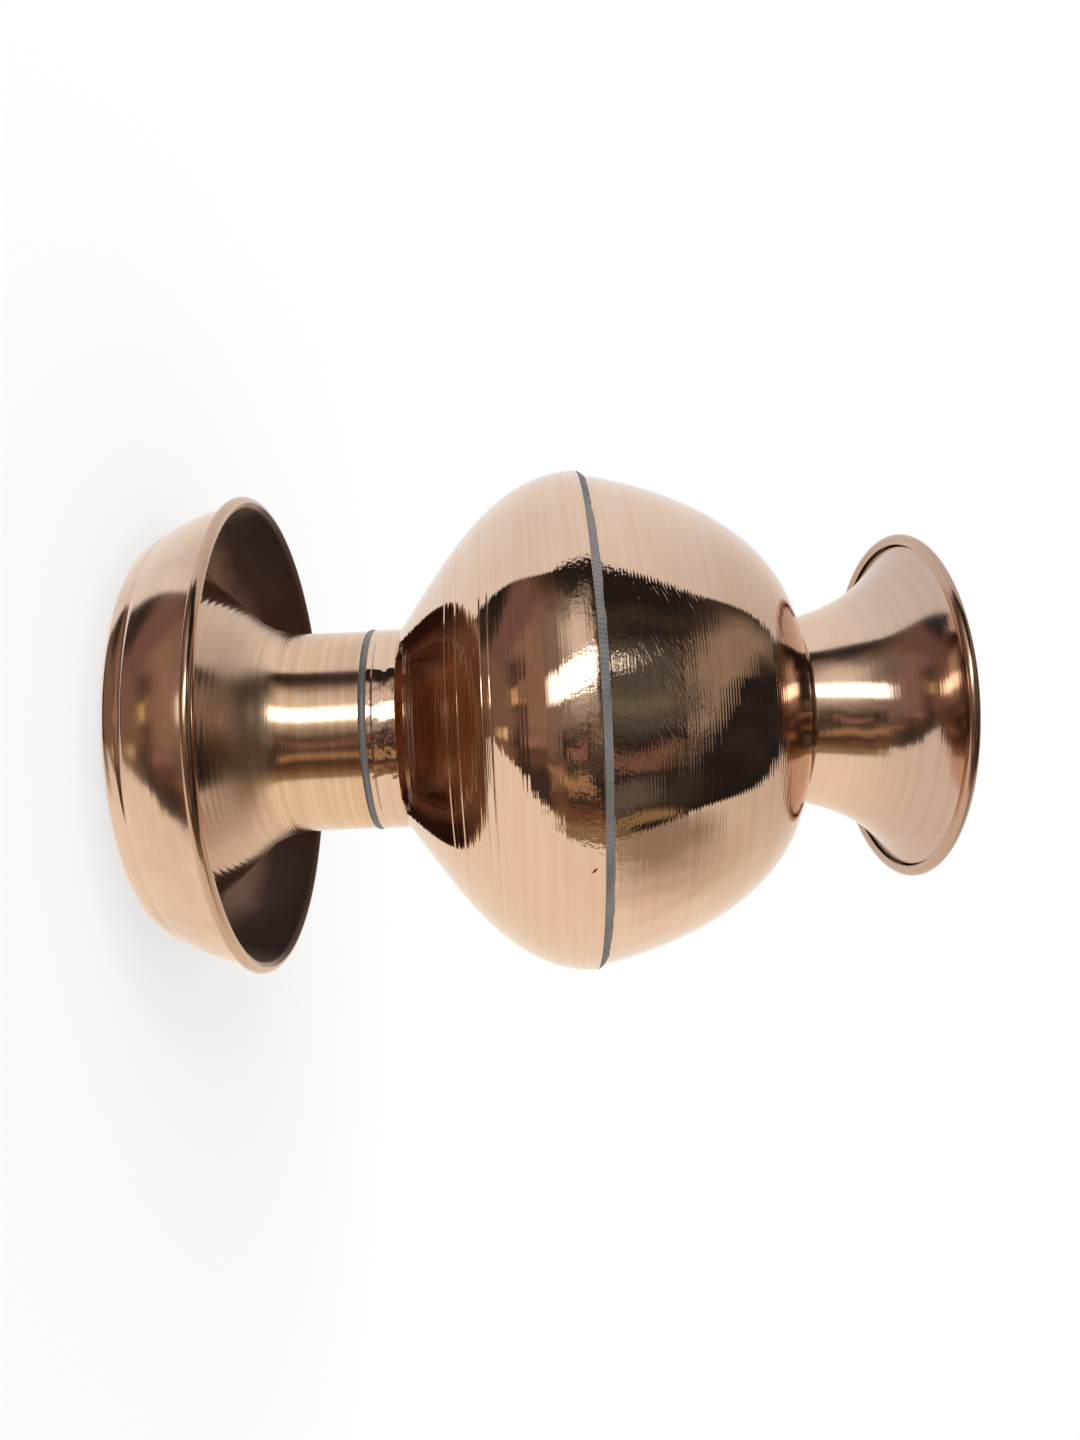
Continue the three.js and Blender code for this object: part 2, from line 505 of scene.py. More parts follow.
def add(tree, kind, settings=None, **inputs):
    """A node with its settings, and its inputs as values or as sockets to link."""
    made = tree.nodes.new(kind)
    for name, value in (settings or {}).items():
        setattr(made, name, value)
    for name, value in inputs.items():
        feed(tree, made.inputs[name.replace("_", " ")], value)
    return made


def feed(tree, socket, value):
    if isinstance(value, bpy.types.NodeSocket):
        tree.links.new(value, socket)
    else:
        socket.default_value = value


def maths(tree, operation, *values):
    made = tree.nodes.new("ShaderNodeMath")
    made.operation = operation
    for socket, value in zip(made.inputs, values):
        feed(tree, socket, value)
    return made.outputs[0]


def ramp(tree, value, low, high, to_low=0.0, to_high=1.0):
    """A smooth step from one value to another."""
    made = add(tree, "ShaderNodeMapRange", {"interpolation_type": "SMOOTHSTEP"}, Value=value)
    for name, number in (("From Min", low), ("From Max", high), ("To Min", to_low), ("To Max", to_high)):
        made.inputs[name].default_value = number
    return made.outputs[0]


def mix_colour(tree, share, first, second):
    # The node's colour sockets are its inputs 6 and 7 and its output 2.
    made = tree.nodes.new("ShaderNodeMix")
    made.data_type = "RGBA"
    for socket, value in ((made.inputs[0], share), (made.inputs[6], first), (made.inputs[7], second)):
        feed(tree, socket, value)
    return made.outputs[2]


def noise_of(tree, vector, scale, detail):
    return add(tree, "ShaderNodeTexNoise", Vector=vector, Scale=scale, Detail=detail).outputs[0]


def noise_along(tree, distance):
    """Noise that changes along one line only, about once a unit."""
    settings = {"noise_dimensions": "1D"}
    return add(tree, "ShaderNodeTexNoise", settings, W=distance, Scale=1.0, Detail=1.0).outputs[0]


def bumped(tree, height, distance, below=None):
    made = add(tree, "ShaderNodeBump", Height=height, Distance=distance, Strength=1.0)
    if below is not None:
        tree.links.new(below, made.inputs["Normal"])
    return made.outputs[0]


def soft_patch(tree, across, up, across_range, up_range, low_edge, high_edge, up_edge):
    """1 inside a patch and 0 outside it, with soft edges."""
    sides = (
        ramp(tree, across, across_range[0], across_range[0] + low_edge),
        ramp(tree, across, across_range[1] - high_edge, across_range[1], 1.0, 0.0),
        ramp(tree, up, up_range[0], up_range[0] + up_edge),
        ramp(tree, up, up_range[1] - up_edge, up_range[1], 1.0, 0.0),
    )
    share = sides[0]
    for side in sides[1:]:
        share = maths(tree, "MULTIPLY", share, side)
    return share


def new_material(name):
    material = bpy.data.materials.new(name)
    material.use_nodes = True
    tree = material.node_tree
    tree.nodes.clear()
    output = tree.nodes.new("ShaderNodeOutputMaterial")
    return material, tree, output


def finish_metal(tree, output, base, metallic, shine, normal):
    shader = add(
        tree, "ShaderNodeBsdfPrincipled",
        Base_Color=base, Metallic=metallic, Roughness=shine, Normal=normal)
    tree.links.new(shader.outputs[0], output.inputs["Surface"])


# Materials

# A blush is a tint that comes in between two heights.
Blush = namedtuple("Blush", "heights colour")

# A haze is an added roughness that comes in between two heights and goes again between two others.
Haze = namedtuple("Haze", "comes goes roughness")


class Spot:
    """Sockets that say where a point of a turned surface is."""

    def __init__(self, tree):
        self.place = add(tree, "ShaderNodeTexCoord").outputs["Object"]
        split = add(tree, "ShaderNodeSeparateXYZ", Vector=self.place)
        toward_camera = maths(tree, "MULTIPLY", split.outputs["Y"], -1.0)
        self.height = split.outputs["Z"]
        self.turn = maths(tree, "ARCTAN2", split.outputs["X"], toward_camera)
        self.run = add(tree, "ShaderNodeAttribute", {"attribute_name": "run"}).outputs["Fac"]
        stretched = maths(tree, "MULTIPLY", self.run, ring_stretch)
        rings = add(tree, "ShaderNodeCombineXYZ", X=split.outputs["X"], Y=split.outputs["Y"], Z=stretched)
        self.rings = rings.outputs[0]


def turning_marks(tree, spot, ridge_slope, random_slope):
    """The rings that a lathe tool leaves: ridges of an even pitch, and random ones."""
    wave = maths(tree, "SINE", maths(tree, "MULTIPLY", spot.run, FULL_TURN / ridge_pitch))
    patch = noise_of(tree, spot.place, ridge_patch_scale, detail=1.0)
    ridges = maths(tree, "MULTIPLY", wave, ramp(tree, patch, *ridge_patch_noise, least_ridge, 1.0))
    normal = bumped(tree, ridges, ridge_slope * ridge_pitch / FULL_TURN)
    for period in random_periods:
        rings = noise_along(tree, maths(tree, "DIVIDE", spot.run, period))
        normal = bumped(tree, rings, random_slope * period, normal)
    return normal


def seam_marks(tree, spot, normal):
    """Beaten, slightly dimpled sheet beside the solder seam."""
    from_seam = maths(tree, "ABSOLUTE", maths(tree, "SUBTRACT", spot.height, body_seam))
    beaten = ramp(tree, from_seam, peel_start, peel_reach, 1.0, 0.0)
    peel = maths(tree, "MULTIPLY", noise_of(tree, spot.place, 1 / peel_size, detail=2.0), beaten)
    return bumped(tree, peel, peel_depth, normal)


def collar_marks(tree, spot, normal):
    """Small dents in the collar, where it was pressed on the stem."""
    on_collar = ramp(tree, spot.height, *dent_heights, 1.0, 0.0)
    dents = maths(tree, "MULTIPLY", noise_of(tree, spot.place, 1 / dent_size, detail=1.0), on_collar)
    return bumped(tree, dents, dent_depth, normal)


def brush_marks(tree, spot, normal):
    """A patch of slanting scratches on the dome, on the side that faces the camera."""
    along_ring = maths(tree, "MULTIPLY", spot.turn, body_radius)
    lengthwise = maths(tree, "MULTIPLY", along_ring, math.cos(brush_lean))
    lengthwise = maths(tree, "MULTIPLY_ADD", spot.height, math.sin(brush_lean), lengthwise)
    across = maths(tree, "MULTIPLY", along_ring, -math.sin(brush_lean))
    across = maths(tree, "MULTIPLY_ADD", spot.height, math.cos(brush_lean), across)
    strokes = add(
        tree, "ShaderNodeCombineXYZ",
        X=maths(tree, "MULTIPLY", lengthwise, brush_scale_along),
        Y=maths(tree, "MULTIPLY", across, brush_scale_across))
    cut = ramp(tree, noise_of(tree, strokes.outputs[0], scale=1.0, detail=1.0), *brush_noise)
    share = soft_patch(
        tree, spot.turn, spot.height, brush_turns, brush_heights,
        brush_turn_edge, brush_turn_edge, brush_height_edge)
    return bumped(tree, maths(tree, "MULTIPLY", cut, share), brush_depth, normal)


def nick_share(tree, spot):
    """1 in a small slanted nick in the lower half and 0 elsewhere."""
    along_ring = maths(tree, "MULTIPLY", maths(tree, "SUBTRACT", spot.turn, nick_turn), body_radius)
    up = maths(tree, "SUBTRACT", spot.height, nick_height)
    leaning = maths(tree, "ADD", along_ring, up)
    reach_along = maths(tree, "ABSOLUTE", maths(tree, "DIVIDE", leaning, nick_width))
    reach_up = maths(tree, "ABSOLUTE", maths(tree, "DIVIDE", up, nick_length))
    return ramp(tree, maths(tree, "ADD", reach_along, reach_up), *nick_edge, 1.0, 0.0)


def copper(name, colour, warm_colour, roughness, ridge_slope, random_slope,
           marks=(), stain=None, blush=None, haze=None, tarnish=0.15):
    """Copper turned on a lathe, with its rings, slow waves, smudges and any other marks.

    Tarnish is the most that the smudges darken.
    """
    material, tree, output = new_material(name)
    spot = Spot(tree)
    normal = turning_marks(tree, spot, ridge_slope, random_slope)
    slow_waves = noise_of(tree, spot.place, slow_wave_scale, detail=1.0)
    normal = bumped(tree, slow_waves, slow_wave_depth, normal)
    for mark in marks:
        normal = mark(tree, spot, normal)

    smudge = ramp(tree, noise_of(tree, spot.place, smudge_scale, detail=4.0), *smudge_noise)
    streak = noise_of(tree, spot.rings, streak_scale, detail=3.0)
    shine = maths(tree, "MULTIPLY_ADD", streak, shine_change, roughness)
    shine = maths(tree, "MULTIPLY_ADD", smudge, shine_change, shine)
    if haze is not None:
        above = ramp(tree, spot.height, *haze.comes)
        below = ramp(tree, spot.height, *haze.goes)
        shine = maths(tree, "MULTIPLY_ADD", maths(tree, "MULTIPLY", above, below), haze.roughness, shine)

    tint = ramp(tree, noise_of(tree, spot.rings, tint_scale, detail=4.0), *tint_noise)
    base = mix_colour(tree, tint, (*colour, 1), (*warm_colour, 1))
    if blush is not None:
        streaky = ramp(tree, tint, 0.0, 1.0, least_blush, 1.0)
        share = maths(tree, "MULTIPLY", ramp(tree, spot.height, *blush.heights), streaky)
        base = mix_colour(tree, share, base, (*blush.colour, 1))
    base = mix_colour(tree, maths(tree, "MULTIPLY", smudge, tarnish), base, (*tarnish_colour, 1))
    if stain is not None:
        base = mix_colour(tree, stain(tree, spot), base, (*stain_colour, 1))
    finish_metal(tree, output, base, FULL_METAL, shine, normal)
    return material


def shaded_inside(name, floor_colour, wall_colour, front_reflection_colour, roughness):
    """Copper darkened with painted shade: brown on the dish's floor, nearly black up its wall, and lighter
    at the front as a painted reflection.
    """
    material, tree, output = new_material(name)
    spot = Spot(tree)
    normal = turning_marks(tree, spot, shaded_inside_ridge_slope, shaded_inside_random_slope)
    cloud = noise_of(tree, spot.place, shade_cloud_scale, detail=4.0)
    wander = maths(tree, "MULTIPLY_ADD", cloud, shade_sway, spot.height)
    # Painted shade: brown on the floor, nearly black up the wall
    base = mix_colour(tree, ramp(tree, wander, *shade_heights), (*floor_colour, 1), (*wall_colour, 1))
    away = maths(tree, "MULTIPLY_ADD", cloud, front_reflection_sway, maths(tree, "ABSOLUTE", spot.turn))
    # Painted reflection: lighter copper at the front of the inside
    base = mix_colour(tree, ramp(tree, away, *front_reflection_turns, 1.0, 0.0), base, (*front_reflection_colour, 1))
    shine = maths(tree, "MULTIPLY_ADD", cloud, shaded_inside_shine_change, roughness)
    finish_metal(tree, output, base, FULL_METAL, shine, normal)
    return material


def dull_metal(name, colour, dark_colour, metallic, ribs=0):
    """Solder or wire with lumps and dark stains. Ribs go across a seam, which is darker at its sides with
    painted shade.
    """
    material, tree, output = new_material(name)
    spot = Spot(tree)
    lumps = noise_of(tree, spot.place, lump_scale, detail=3.0)
    stain = ramp(tree, noise_of(tree, spot.place, stain_scale, detail=4.0), *stain_noise)
    normal = bumped(tree, lumps, lump_depth)
    if ribs:
        # Painted shade: the seam darkens towards its sides, away from the front
        aside = ramp(tree, maths(tree, "ABSOLUTE", spot.turn), *rib_side_shade_turns)
        stain = maths(tree, "MULTIPLY_ADD", stain, rib_side_shade, aside)
        wave = maths(tree, "SINE", maths(tree, "MULTIPLY", spot.turn, float(ribs)))
        normal = bumped(tree, wave, rib_depth, normal)
    base = mix_colour(tree, stain, (*colour, 1), (*dark_colour, 1))
    shine = ramp(tree, lumps, *lump_noise, *dull_roughness)
    finish_metal(tree, output, base, metallic, shine, normal)
    return material


# Colours
pink = (0.78, 0.565, 0.43)
gold = (0.77, 0.54, 0.395)
streak_gold = (0.75, 0.515, 0.37)
stem_pink = (0.79, 0.56, 0.40)
deep_gold = (0.70, 0.455, 0.29)
bead_brown = (0.56, 0.385, 0.30)
bead_deep = (0.50, 0.32, 0.235)
inside_brown = (0.62, 0.40, 0.28)
inside_deep = (0.50, 0.28, 0.18)
tarnish_colour = (0.5, 0.33, 0.25)
stain_colour = (0.03, 0.018, 0.012)
# Painted shade inside the dish, and the lighter copper of its painted reflection at the front
shaded_floor_brown = (0.33, 0.205, 0.155)
shaded_wall_black = (0.085, 0.05, 0.04)
front_reflection_copper = (0.68, 0.52, 0.42)
solder_grey = (0.22, 0.21, 0.205)
solder_dark = (0.12, 0.115, 0.115)
seam_light = (0.25, 0.238, 0.233)
seam_dark = (0.11, 0.105, 0.10)
iron_grey = (0.42, 0.40, 0.38)
iron_dark = (0.28, 0.25, 0.22)

# Tints and haze by height
lip_blush = Blush((foot_wire_bottom - 1.5 * MM, foot_wire_bottom), (0.57, 0.38, 0.26))
cone_blush = Blush((cone_top + 5 * MM, cone_top - 6 * MM), (0.60, 0.405, 0.29))
flare_blush = Blush((176 * MM, 198 * MM), (0.57, 0.405, 0.34))
hollow_haze = Haze(
    comes=(cone_top - 12 * MM, cone_top - 3 * MM),
    goes=(cone_top + 7 * MM, cone_top + 2 * MM),
    roughness=0.16)

# One material for each kind of surface
foot_copper = copper(
    "foot_copper", pink, gold,
    roughness=0.11, ridge_slope=0.2 * DEGREE, random_slope=0.3 * DEGREE,
    blush=lip_blush, tarnish=0.6)
stem_copper = copper(
    "stem_copper", stem_pink, deep_gold,
    roughness=0.12, ridge_slope=1.2 * DEGREE, random_slope=0.35 * DEGREE,
    blush=cone_blush, haze=hollow_haze, tarnish=0.45)
body_copper = copper(
    "body_copper", pink, streak_gold,
    roughness=0.015, ridge_slope=0.9 * DEGREE, random_slope=1.3 * DEGREE,
    marks=[seam_marks, collar_marks], stain=nick_share)
dome_copper = copper(
    "dome_copper", pink, streak_gold,
    roughness=0.015, ridge_slope=2.3 * DEGREE, random_slope=0.7 * DEGREE,
    marks=[seam_marks, brush_marks])
mouth_copper = copper(
    "mouth_copper", pink, gold,
    roughness=0.1, ridge_slope=0.4 * DEGREE, random_slope=0.6 * DEGREE,
    blush=flare_blush)
bead_copper = copper(
    "bead_copper", bead_brown, bead_deep,
    roughness=0.16, ridge_slope=0.6 * DEGREE, random_slope=1 * DEGREE)
inner_copper = copper(
    "inner_copper", inside_brown, inside_deep,
    roughness=0.22, ridge_slope=1 * DEGREE, random_slope=1 * DEGREE)
# The dish's inside, darkened with painted shade and lightened at the front with a painted reflection
painted_shade_copper = shaded_inside("painted_shade_copper", shaded_floor_brown, shaded_wall_black, front_reflection_copper, roughness=0.46)
soft_solder = dull_metal("soft_solder", solder_grey, solder_dark, metallic=0.35)
seam_solder = dull_metal("seam_solder", seam_light, seam_dark, metallic=0.35, ribs=380)
iron = dull_metal("iron_wire", iron_grey, iron_dark, FULL_METAL)


# Pieces

def make_foot():
    def on_wall(height):
        return point(base_radius + math.tan(dish_wall_tilt) * height, height)

    groove_top = band_height + groove_width
    groove_floor = on_wall(band_height + groove_width / 2) - point(groove_depth, 0)
    band_middle = on_wall((base_edge_round + band_height) / 2) + point(band_bulge, 0)
    centre, wire_side, open_side = rim_curl("foot_rim_wire", reach("foot_dish"), dish_lip_tilt)
    edge_start = point(base_radius - base_edge_round, 0)
    underside = straight(point(0, 0), edge_start, short_steps)
    edge = curve(edge_start, on_wall(0), on_wall(base_edge_round), steps=round_steps)
    band = curve(on_wall(base_edge_round), band_middle, on_wall(band_height), steps=round_steps)
    groove = curve(on_wall(band_height), groove_floor, on_wall(groove_top), steps=round_steps)
    bowl = wall(
        on_wall(groove_top), dish_wall_tilt, wire_side[0], dish_lip_tilt, dish_fullness, curve_steps)
    outer = joined(underside, edge, band, groove, bowl, wire_side)
    flat = straight(point(0, 0), on_wall(0), short_steps)
    inner = joined(inner_side(joined(flat, bowl), LEVEL, dish_lip_tilt)[:-1], open_side)
    crown = open_side[int(curl_steps * dark_inside_start)]
    place_sheet("saucer_foot", "foot_dish", outer, inner, [foot_copper, painted_shade_copper], crown)
    make_wire("foot_wire", "foot_rim_wire", centre)


def make_wire(name, node, centre):
    circle = arc(centre, wire_radius, 0, FULL_TURN)[:-1]
    place_ring(name, node, evenly(circle), iron)


def ring_spot(turn, radius, seed):
    """A place on a circle in the noise, so that what it gives closes round the ring."""
    return Vector((math.cos(turn) * radius, math.sin(turn) * radius, seed))


def make_solder(name, node, section, wobble, seed):
    """A ring of solder whose thickness wanders round the ring."""
    spots = [ring_spot(turn, lump_circle, seed) for turn in ring_turns(solder_around)]
    lumps = np.array([noise.fractal(spot, *lump_layers) for spot in spots])
    swell = 1 + wobble / solder_thickness * lumps
    middle = section.mean(axis=0)
    sections = middle + (section - middle)[:, None] * swell[:, None]
    place_ring(name, node, sections, soft_solder)


def make_pedestal():
    base = point(cone_base_radius, dish_floor)
    corner = point(stem_foot_radius, cone_top)
    cone_length = np.linalg.norm(base - corner)
    cone_end = corner + (base - corner) * hollow_reach / cone_length
    foot_start = corner + along(stem_foot_tilt) * hollow_reach
    foot_end = point(stem_radius, cone_top + stem_foot_rise)
    cone = straight(base, cone_end, short_steps)
    hollow = curve(cone_end, corner, foot_start, steps=hollow_steps)
    foot = wall(foot_start, stem_foot_tilt, foot_end, UPRIGHT, stem_foot_fullness, short_steps)
    stem = straight(foot_end, point(stem_radius, stem_top), short_steps)
    inner = inner_side(joined(cone, hollow, foot, stem), UPRIGHT, UPRIGHT)
    # The cone's lower edge is cut level, which leaves it wider than the sheet is thick.
    inner[0, 0] = cone_base_radius - sheet * cone_length / cone_rise
    outer = joined(ridged(cone, cone_ridge_pitch, cone_ridge_depth), hollow, foot, stem)
    place_sheet("pedestal_and_stem", "pedestal", outer, inner, [stem_copper, inner_copper])

    def in_cone(height):
        return point(np.interp(height, inner[:, 1], inner[:, 0]) - lap_gap, height)

    low = in_cone(dish_floor)
    waist = low + point(-cone_solder_waist, cone_solder_waist)
    high = in_cone(dish_floor + cone_solder_width)
    fillet = curve(high, waist, low - point(cone_solder_width, 0), steps=fillet_steps)
    make_solder("cone_solder", "pedestal_solder", joined(line(low), fillet), wobble=0.1 * MM, seed=0.0)


def make_lower_body():
    """Returns its inner face, which the upper half fits."""
    spigot_corner = point(spigot_radius, spigot_floor)
    flat = straight(point(0, spigot_floor), point(spigot_radius - spigot_round, spigot_floor), short_steps)
    turn_end = point(spigot_radius, spigot_floor + spigot_round)
    turn_up = curve(flat[-1], spigot_corner, turn_end, steps=round_steps)
    step = line(point(spigot_radius, collar_bottom), point(collar_radius, collar_bottom))
    collar = straight(step[-1], point(collar_radius, collar_top), short_steps)
    rim = point(body_radius, body_seam)
    opening = wall(collar[-1], lower_start_tilt, rim, UPRIGHT, lower_fullness, long_steps)
    inner = inner_side(joined(line(flat[0], spigot_corner), step, opening), LEVEL, UPRIGHT)
    outer = joined(flat, turn_up, step, scribed(collar, collar_scribes), scribed(opening, body_scribes))
    place_sheet("body_lower_half", "lower_body", outer, inner, [body_copper, inner_copper])

    swell = point(reach("stem_solder") + stem_solder_bulge, (stem_top + collar_bottom) / 2)
    crown = curve(point(stem_radius, stem_top), swell, step[-1], steps=crown_steps)
    back = spigot_radius + lap_gap
    section = joined(line(point(back, stem_top)), crown, line(point(back, collar_bottom)))
    make_solder("stem_solder_ring", "stem_solder", section, wobble=0.06 * MM, seed=3.0)
    return inner


def make_upper_body(lower_inner):
    lower_wall = lower_inner[-long_steps:]

    def lap_fit(height):
        return point(np.interp(height, lower_wall[:, 1], lower_wall[:, 0]) - lap_gap, height)

    seam = lap_fit(body_seam)
    shoulder = point(shoulder_radius, shoulder_height)
    dome = wall(seam, upper_start_tilt, shoulder, shoulder_tilt, upper_fullness, long_steps)
    corner = point(neck_radius, shoulder_height + neck_fillet / math.tan(-shoulder_tilt))
    neck = curve(shoulder, corner, point(neck_radius, neck_top), steps=short_steps)
    outer = joined(line(lap_fit(lap_bottom), seam), dome, neck)
    inner = inner_side(outer, UPRIGHT, UPRIGHT)
    place_sheet("body_upper_half", "upper_body", outer, inner, [dome_copper, inner_copper])
    make_body_solder(dome)


def make_body_solder(dome):
    """The seam of solder that fills the step between the body's two halves, with its uneven upper edge."""
    width = body_solder_top - body_seam
    step = body_radius - dome[0, 0]
    share = np.linspace(0, 1, seam_steps + 1)
    sections = np.zeros((2 * seam_steps + 1, solder_around, 2))
    for k, turn in enumerate(ring_turns(solder_around)):
        wander = noise.fractal(ring_spot(turn, wander_circle, wander_seed), *wander_layers)
        sway = noise.noise(ring_spot(turn, sway_circle, sway_seed))
        upper = width * (1 + seam_edge_wander * wander + seam_edge_sway * sway)
        thick = step * (seam_fill + seam_fill_wander * wander)
        back = at_length(dome, share * upper)
        face = back.copy()
        face[:, 0] += thick * (1 - share ** seam_fall)
        sections[:, k] = np.vstack([face, back[-2::-1]])
    place_ring("body_solder_seam", "body_solder", sections, seam_solder)


def make_mouth():
    centre, wire_side, open_side = rim_curl("mouth_rim_wire", reach("mouth_flare"), mouth_lip_tilt)
    start = point(mouth_tube_radius, neck_top)
    flare = wall(start, mouth_start_tilt, wire_side[0], mouth_lip_tilt, mouth_fullness, long_steps)
    tube = straight(point(mouth_tube_radius, mouth_tube_bottom), start, tube_steps)
    wall_face = joined(tube, flare)
    outer = joined(wall_face, wire_side)
    inner = joined(inner_side(wall_face, UPRIGHT, mouth_lip_tilt)[:-1], open_side)
    place_sheet("trumpet_mouth", "mouth_flare", outer, inner, [mouth_copper, bead_copper], wire_side[0])
    make_wire("mouth_wire", "mouth_rim_wire", centre)

    low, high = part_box("neck_solder")
    near = mouth_tube_radius + lap_gap
    waist = point(near + neck_solder_waist, high.z - neck_solder_waist)
    fillet = curve(point(near, low.z), waist, point(high.x, high.z), steps=fillet_steps)
    section = joined(fillet, line(point(near, high.z)))
    make_solder("neck_solder_ring", "neck_solder", section, wobble=0.08 * MM, seed=5.0)


make_foot()
make_pedestal()
make_upper_body(make_lower_body())
make_mouth()


# Camera, at the photograph's place and rolled so that the vessel's axis lies across

photo_height = 1440
focal_pixels = 919
sensor_width = 36
nearest_seen = 0.01
axis_yaw = 1.25 * DEGREE
axis_roll = 2.65 * DEGREE
lip_from_camera = Vector((-77.1, 4.1, 261.4)) * MM


def make_camera():
    # Right, down and forward are the camera's own directions here.
    flat = math.cos(axis_yaw)
    axis = Vector((flat * math.cos(axis_roll), -flat * math.sin(axis_roll), math.sin(axis_yaw)))
    away = Vector((0, 0, 1))
    away = (away - axis * away.dot(axis)).normalized()
    to_object = Matrix((away.cross(axis), away, axis))
    right, down, forward = to_object.col
    lip_centre = Vector((0, 0, (foot_wire_bottom + foot_wire_top) / 2))
    stand = lip_centre - to_object @ lip_from_camera
    data = bpy.data.cameras.new("camera")
    data.sensor_width = sensor_width
    data.lens = focal_pixels * sensor_width / photo_height
    data.clip_start = nearest_seen
    camera = bpy.data.objects.new("camera", data)
    turn = Matrix((right, -down, -forward)).transposed().to_4x4()
    camera.matrix_world = Matrix.Translation(stand) @ turn
    bpy.context.scene.collection.objects.link(camera)
    bpy.context.scene.camera = camera


# Stage: a white floor, and what the polished metal reflects
# Directions are a turn from the front towards +X and a rise from the level, both in degrees.

# A quarter of the tent's opening, on one side and in its upper or lower half. Its edge stands at one turn
# as far as a rise, and from there it leans out by a span of rises over a span of turns.
Quarter = namedtuple("Quarter", "side half edge_turn edge_rise turn_span rise_span")

# A patch of light, with the widths of the soft edges at its two sides and at its top and bottom
Patch = namedtuple("Patch", "turns rises edges light lean", defaults=[0.0])


def even(width):
    """The same soft edge all round a patch."""
    return (width, width, width)


surroundings_radius = 2.5
tent_cool = (0.93, 0.94, 0.95)
tent_warm = (1.0, 0.93, 0.82)
tent_top = (0.2, 0.12, 0.08)
tent_top_rises = (15, 65)
tent_top_share = 0.33
tent_sides = (-0.94, 0.94)
room_dark = (0.02, 0.017, 0.017)
room_clutter = (0.052, 0.038, 0.033)
clutter_scale = 3.2
clutter_noise = (0.42, 0.7)
clutter_sway = 11.0
sway_scale = 5.0
opening_edge = 1.0
opening_crown = 83.5
opening_quarters = (
    Quarter(-1, 1, 72, 38, 50, 31),
    Quarter(1, 1, 55, 42, 42, 32),
    Quarter(-1, -1, 71, 20, 45, 38),
    Quarter(1, -1, 53, 45, 30, 27),
)
room_patches = (
    Patch((-120, 110), (-95, -60), even(10), (0.22, 0.145, 0.105)),
    Patch((-78, 60), (-66, -16), even(16), (0.14, 0.08, 0.052)),
    Patch((-92, -40), (-74, -26), even(14), (0.20, 0.12, 0.105)),
    Patch((-64, 16), (-66, -28), even(16), (0.31, 0.20, 0.15)),
    Patch((-62, 24), (-46, 14), even(18), (0.27, 0.22, 0.18)),
    Patch((-58, 4), (-30, 10), even(20), (0.85, 0.80, 0.75)),
    Patch((-40, 13), (14, 51), even(12), (0.10, 0.097, 0.088)),
    Patch((-15, 2), (7, 47), even(8), (0.18, 0.17, 0.135)),
    Patch((3, 10), (2, 16), even(3), (0.40, 0.26, 0.20)),
    Patch((13, 26), (6, 45), even(5), (0.21, 0.125, 0.09)),
    Patch((-106, -7), (44, 78), (45, 3, 10), (0.33, 0.265, 0.21), -3.0),
    Patch((25, 46), (8, 40), even(8), (0.13, 0.12, 0.105)),
    Patch((0, 21), (-34, 1), even(7), (0.06, 0.042, 0.034)),
    Patch((7, 17), (-24, -7), even(4), (0.30, 0.185, 0.14)),
    Patch((-37, -24), (-51, -37), even(4), (0.34, 0.19, 0.18)),
    Patch((5, 15), (-57, -40), even(4), (0.34, 0.20, 0.17)),
    Patch((19, 35), (-46, 2), even(7), (0.45, 0.29, 0.17)),
    Patch((34, 54), (-48, 10), even(6), (0.19, 0.10, 0.055)),
    Patch((43, 58), (-40, 42), even(6), (0.30, 0.22, 0.12)),
    Patch((-28, -10), (-71, -57), even(6), (0.75, 0.52, 0.28)),
    Patch((4, 20), (-80, -68), even(6), (0.95, 0.75, 0.45)),
    Patch((22, 48), (-62, -30), even(8), (0.06, 0.04, 0.033)),
    Patch((39, 100), (-90, -18), (2, 2, 8), (0.99, 0.93, 0.83), 0.45),
)
windows = (
    Patch((-28, -10), (-41, 10), (5, 5, 13), (4.6, 4.5, 4.3), -0.22),
    Patch((-30, -20), (23, 32), even(3), (1.2, 1.2, 1.15)),
)
tent_patches = (
    Patch((54, 118), (6, 58), even(24), (0.66, 0.57, 0.49), 0.4),
    Patch((48, 96), (14, 52), (4, 30, 13), (0.36, 0.29, 0.235), 0.4),
)

floor_reach = 6.0
floor_colour = (0.94, 0.94, 0.94)
floor_fade = (0.08, 0.5)
floor_glow = 0.63

white = (1, 1, 1, 1)
world_strength = 0.8
lamp_size = 0.7
lamp_energy = 4.0
lamp_stand = Vector((-0.5, -0.35, 0.95))


def stage_object(name, mesh, material):
    made = bpy.data.objects.new(name, mesh)
    bpy.context.scene.collection.objects.link(made)
    mesh.materials.append(material)
    return made


def make_surroundings():
    """A ball that only reflections see: a pale tent, and a dim room through its open front."""
    mesh = bpy.data.meshes.new("surroundings")
    ball = bmesh.new()
    bmesh.ops.create_uvsphere(ball, u_segments=64, v_segments=32, radius=surroundings_radius)
    ball.to_mesh(mesh)
    ball.free()
    made = stage_object("surroundings", mesh, surroundings_material())
    made.location.z = top("mouth_flare") / 2
    made.visible_camera = False
    made.visible_diffuse = False
    made.visible_shadow = False


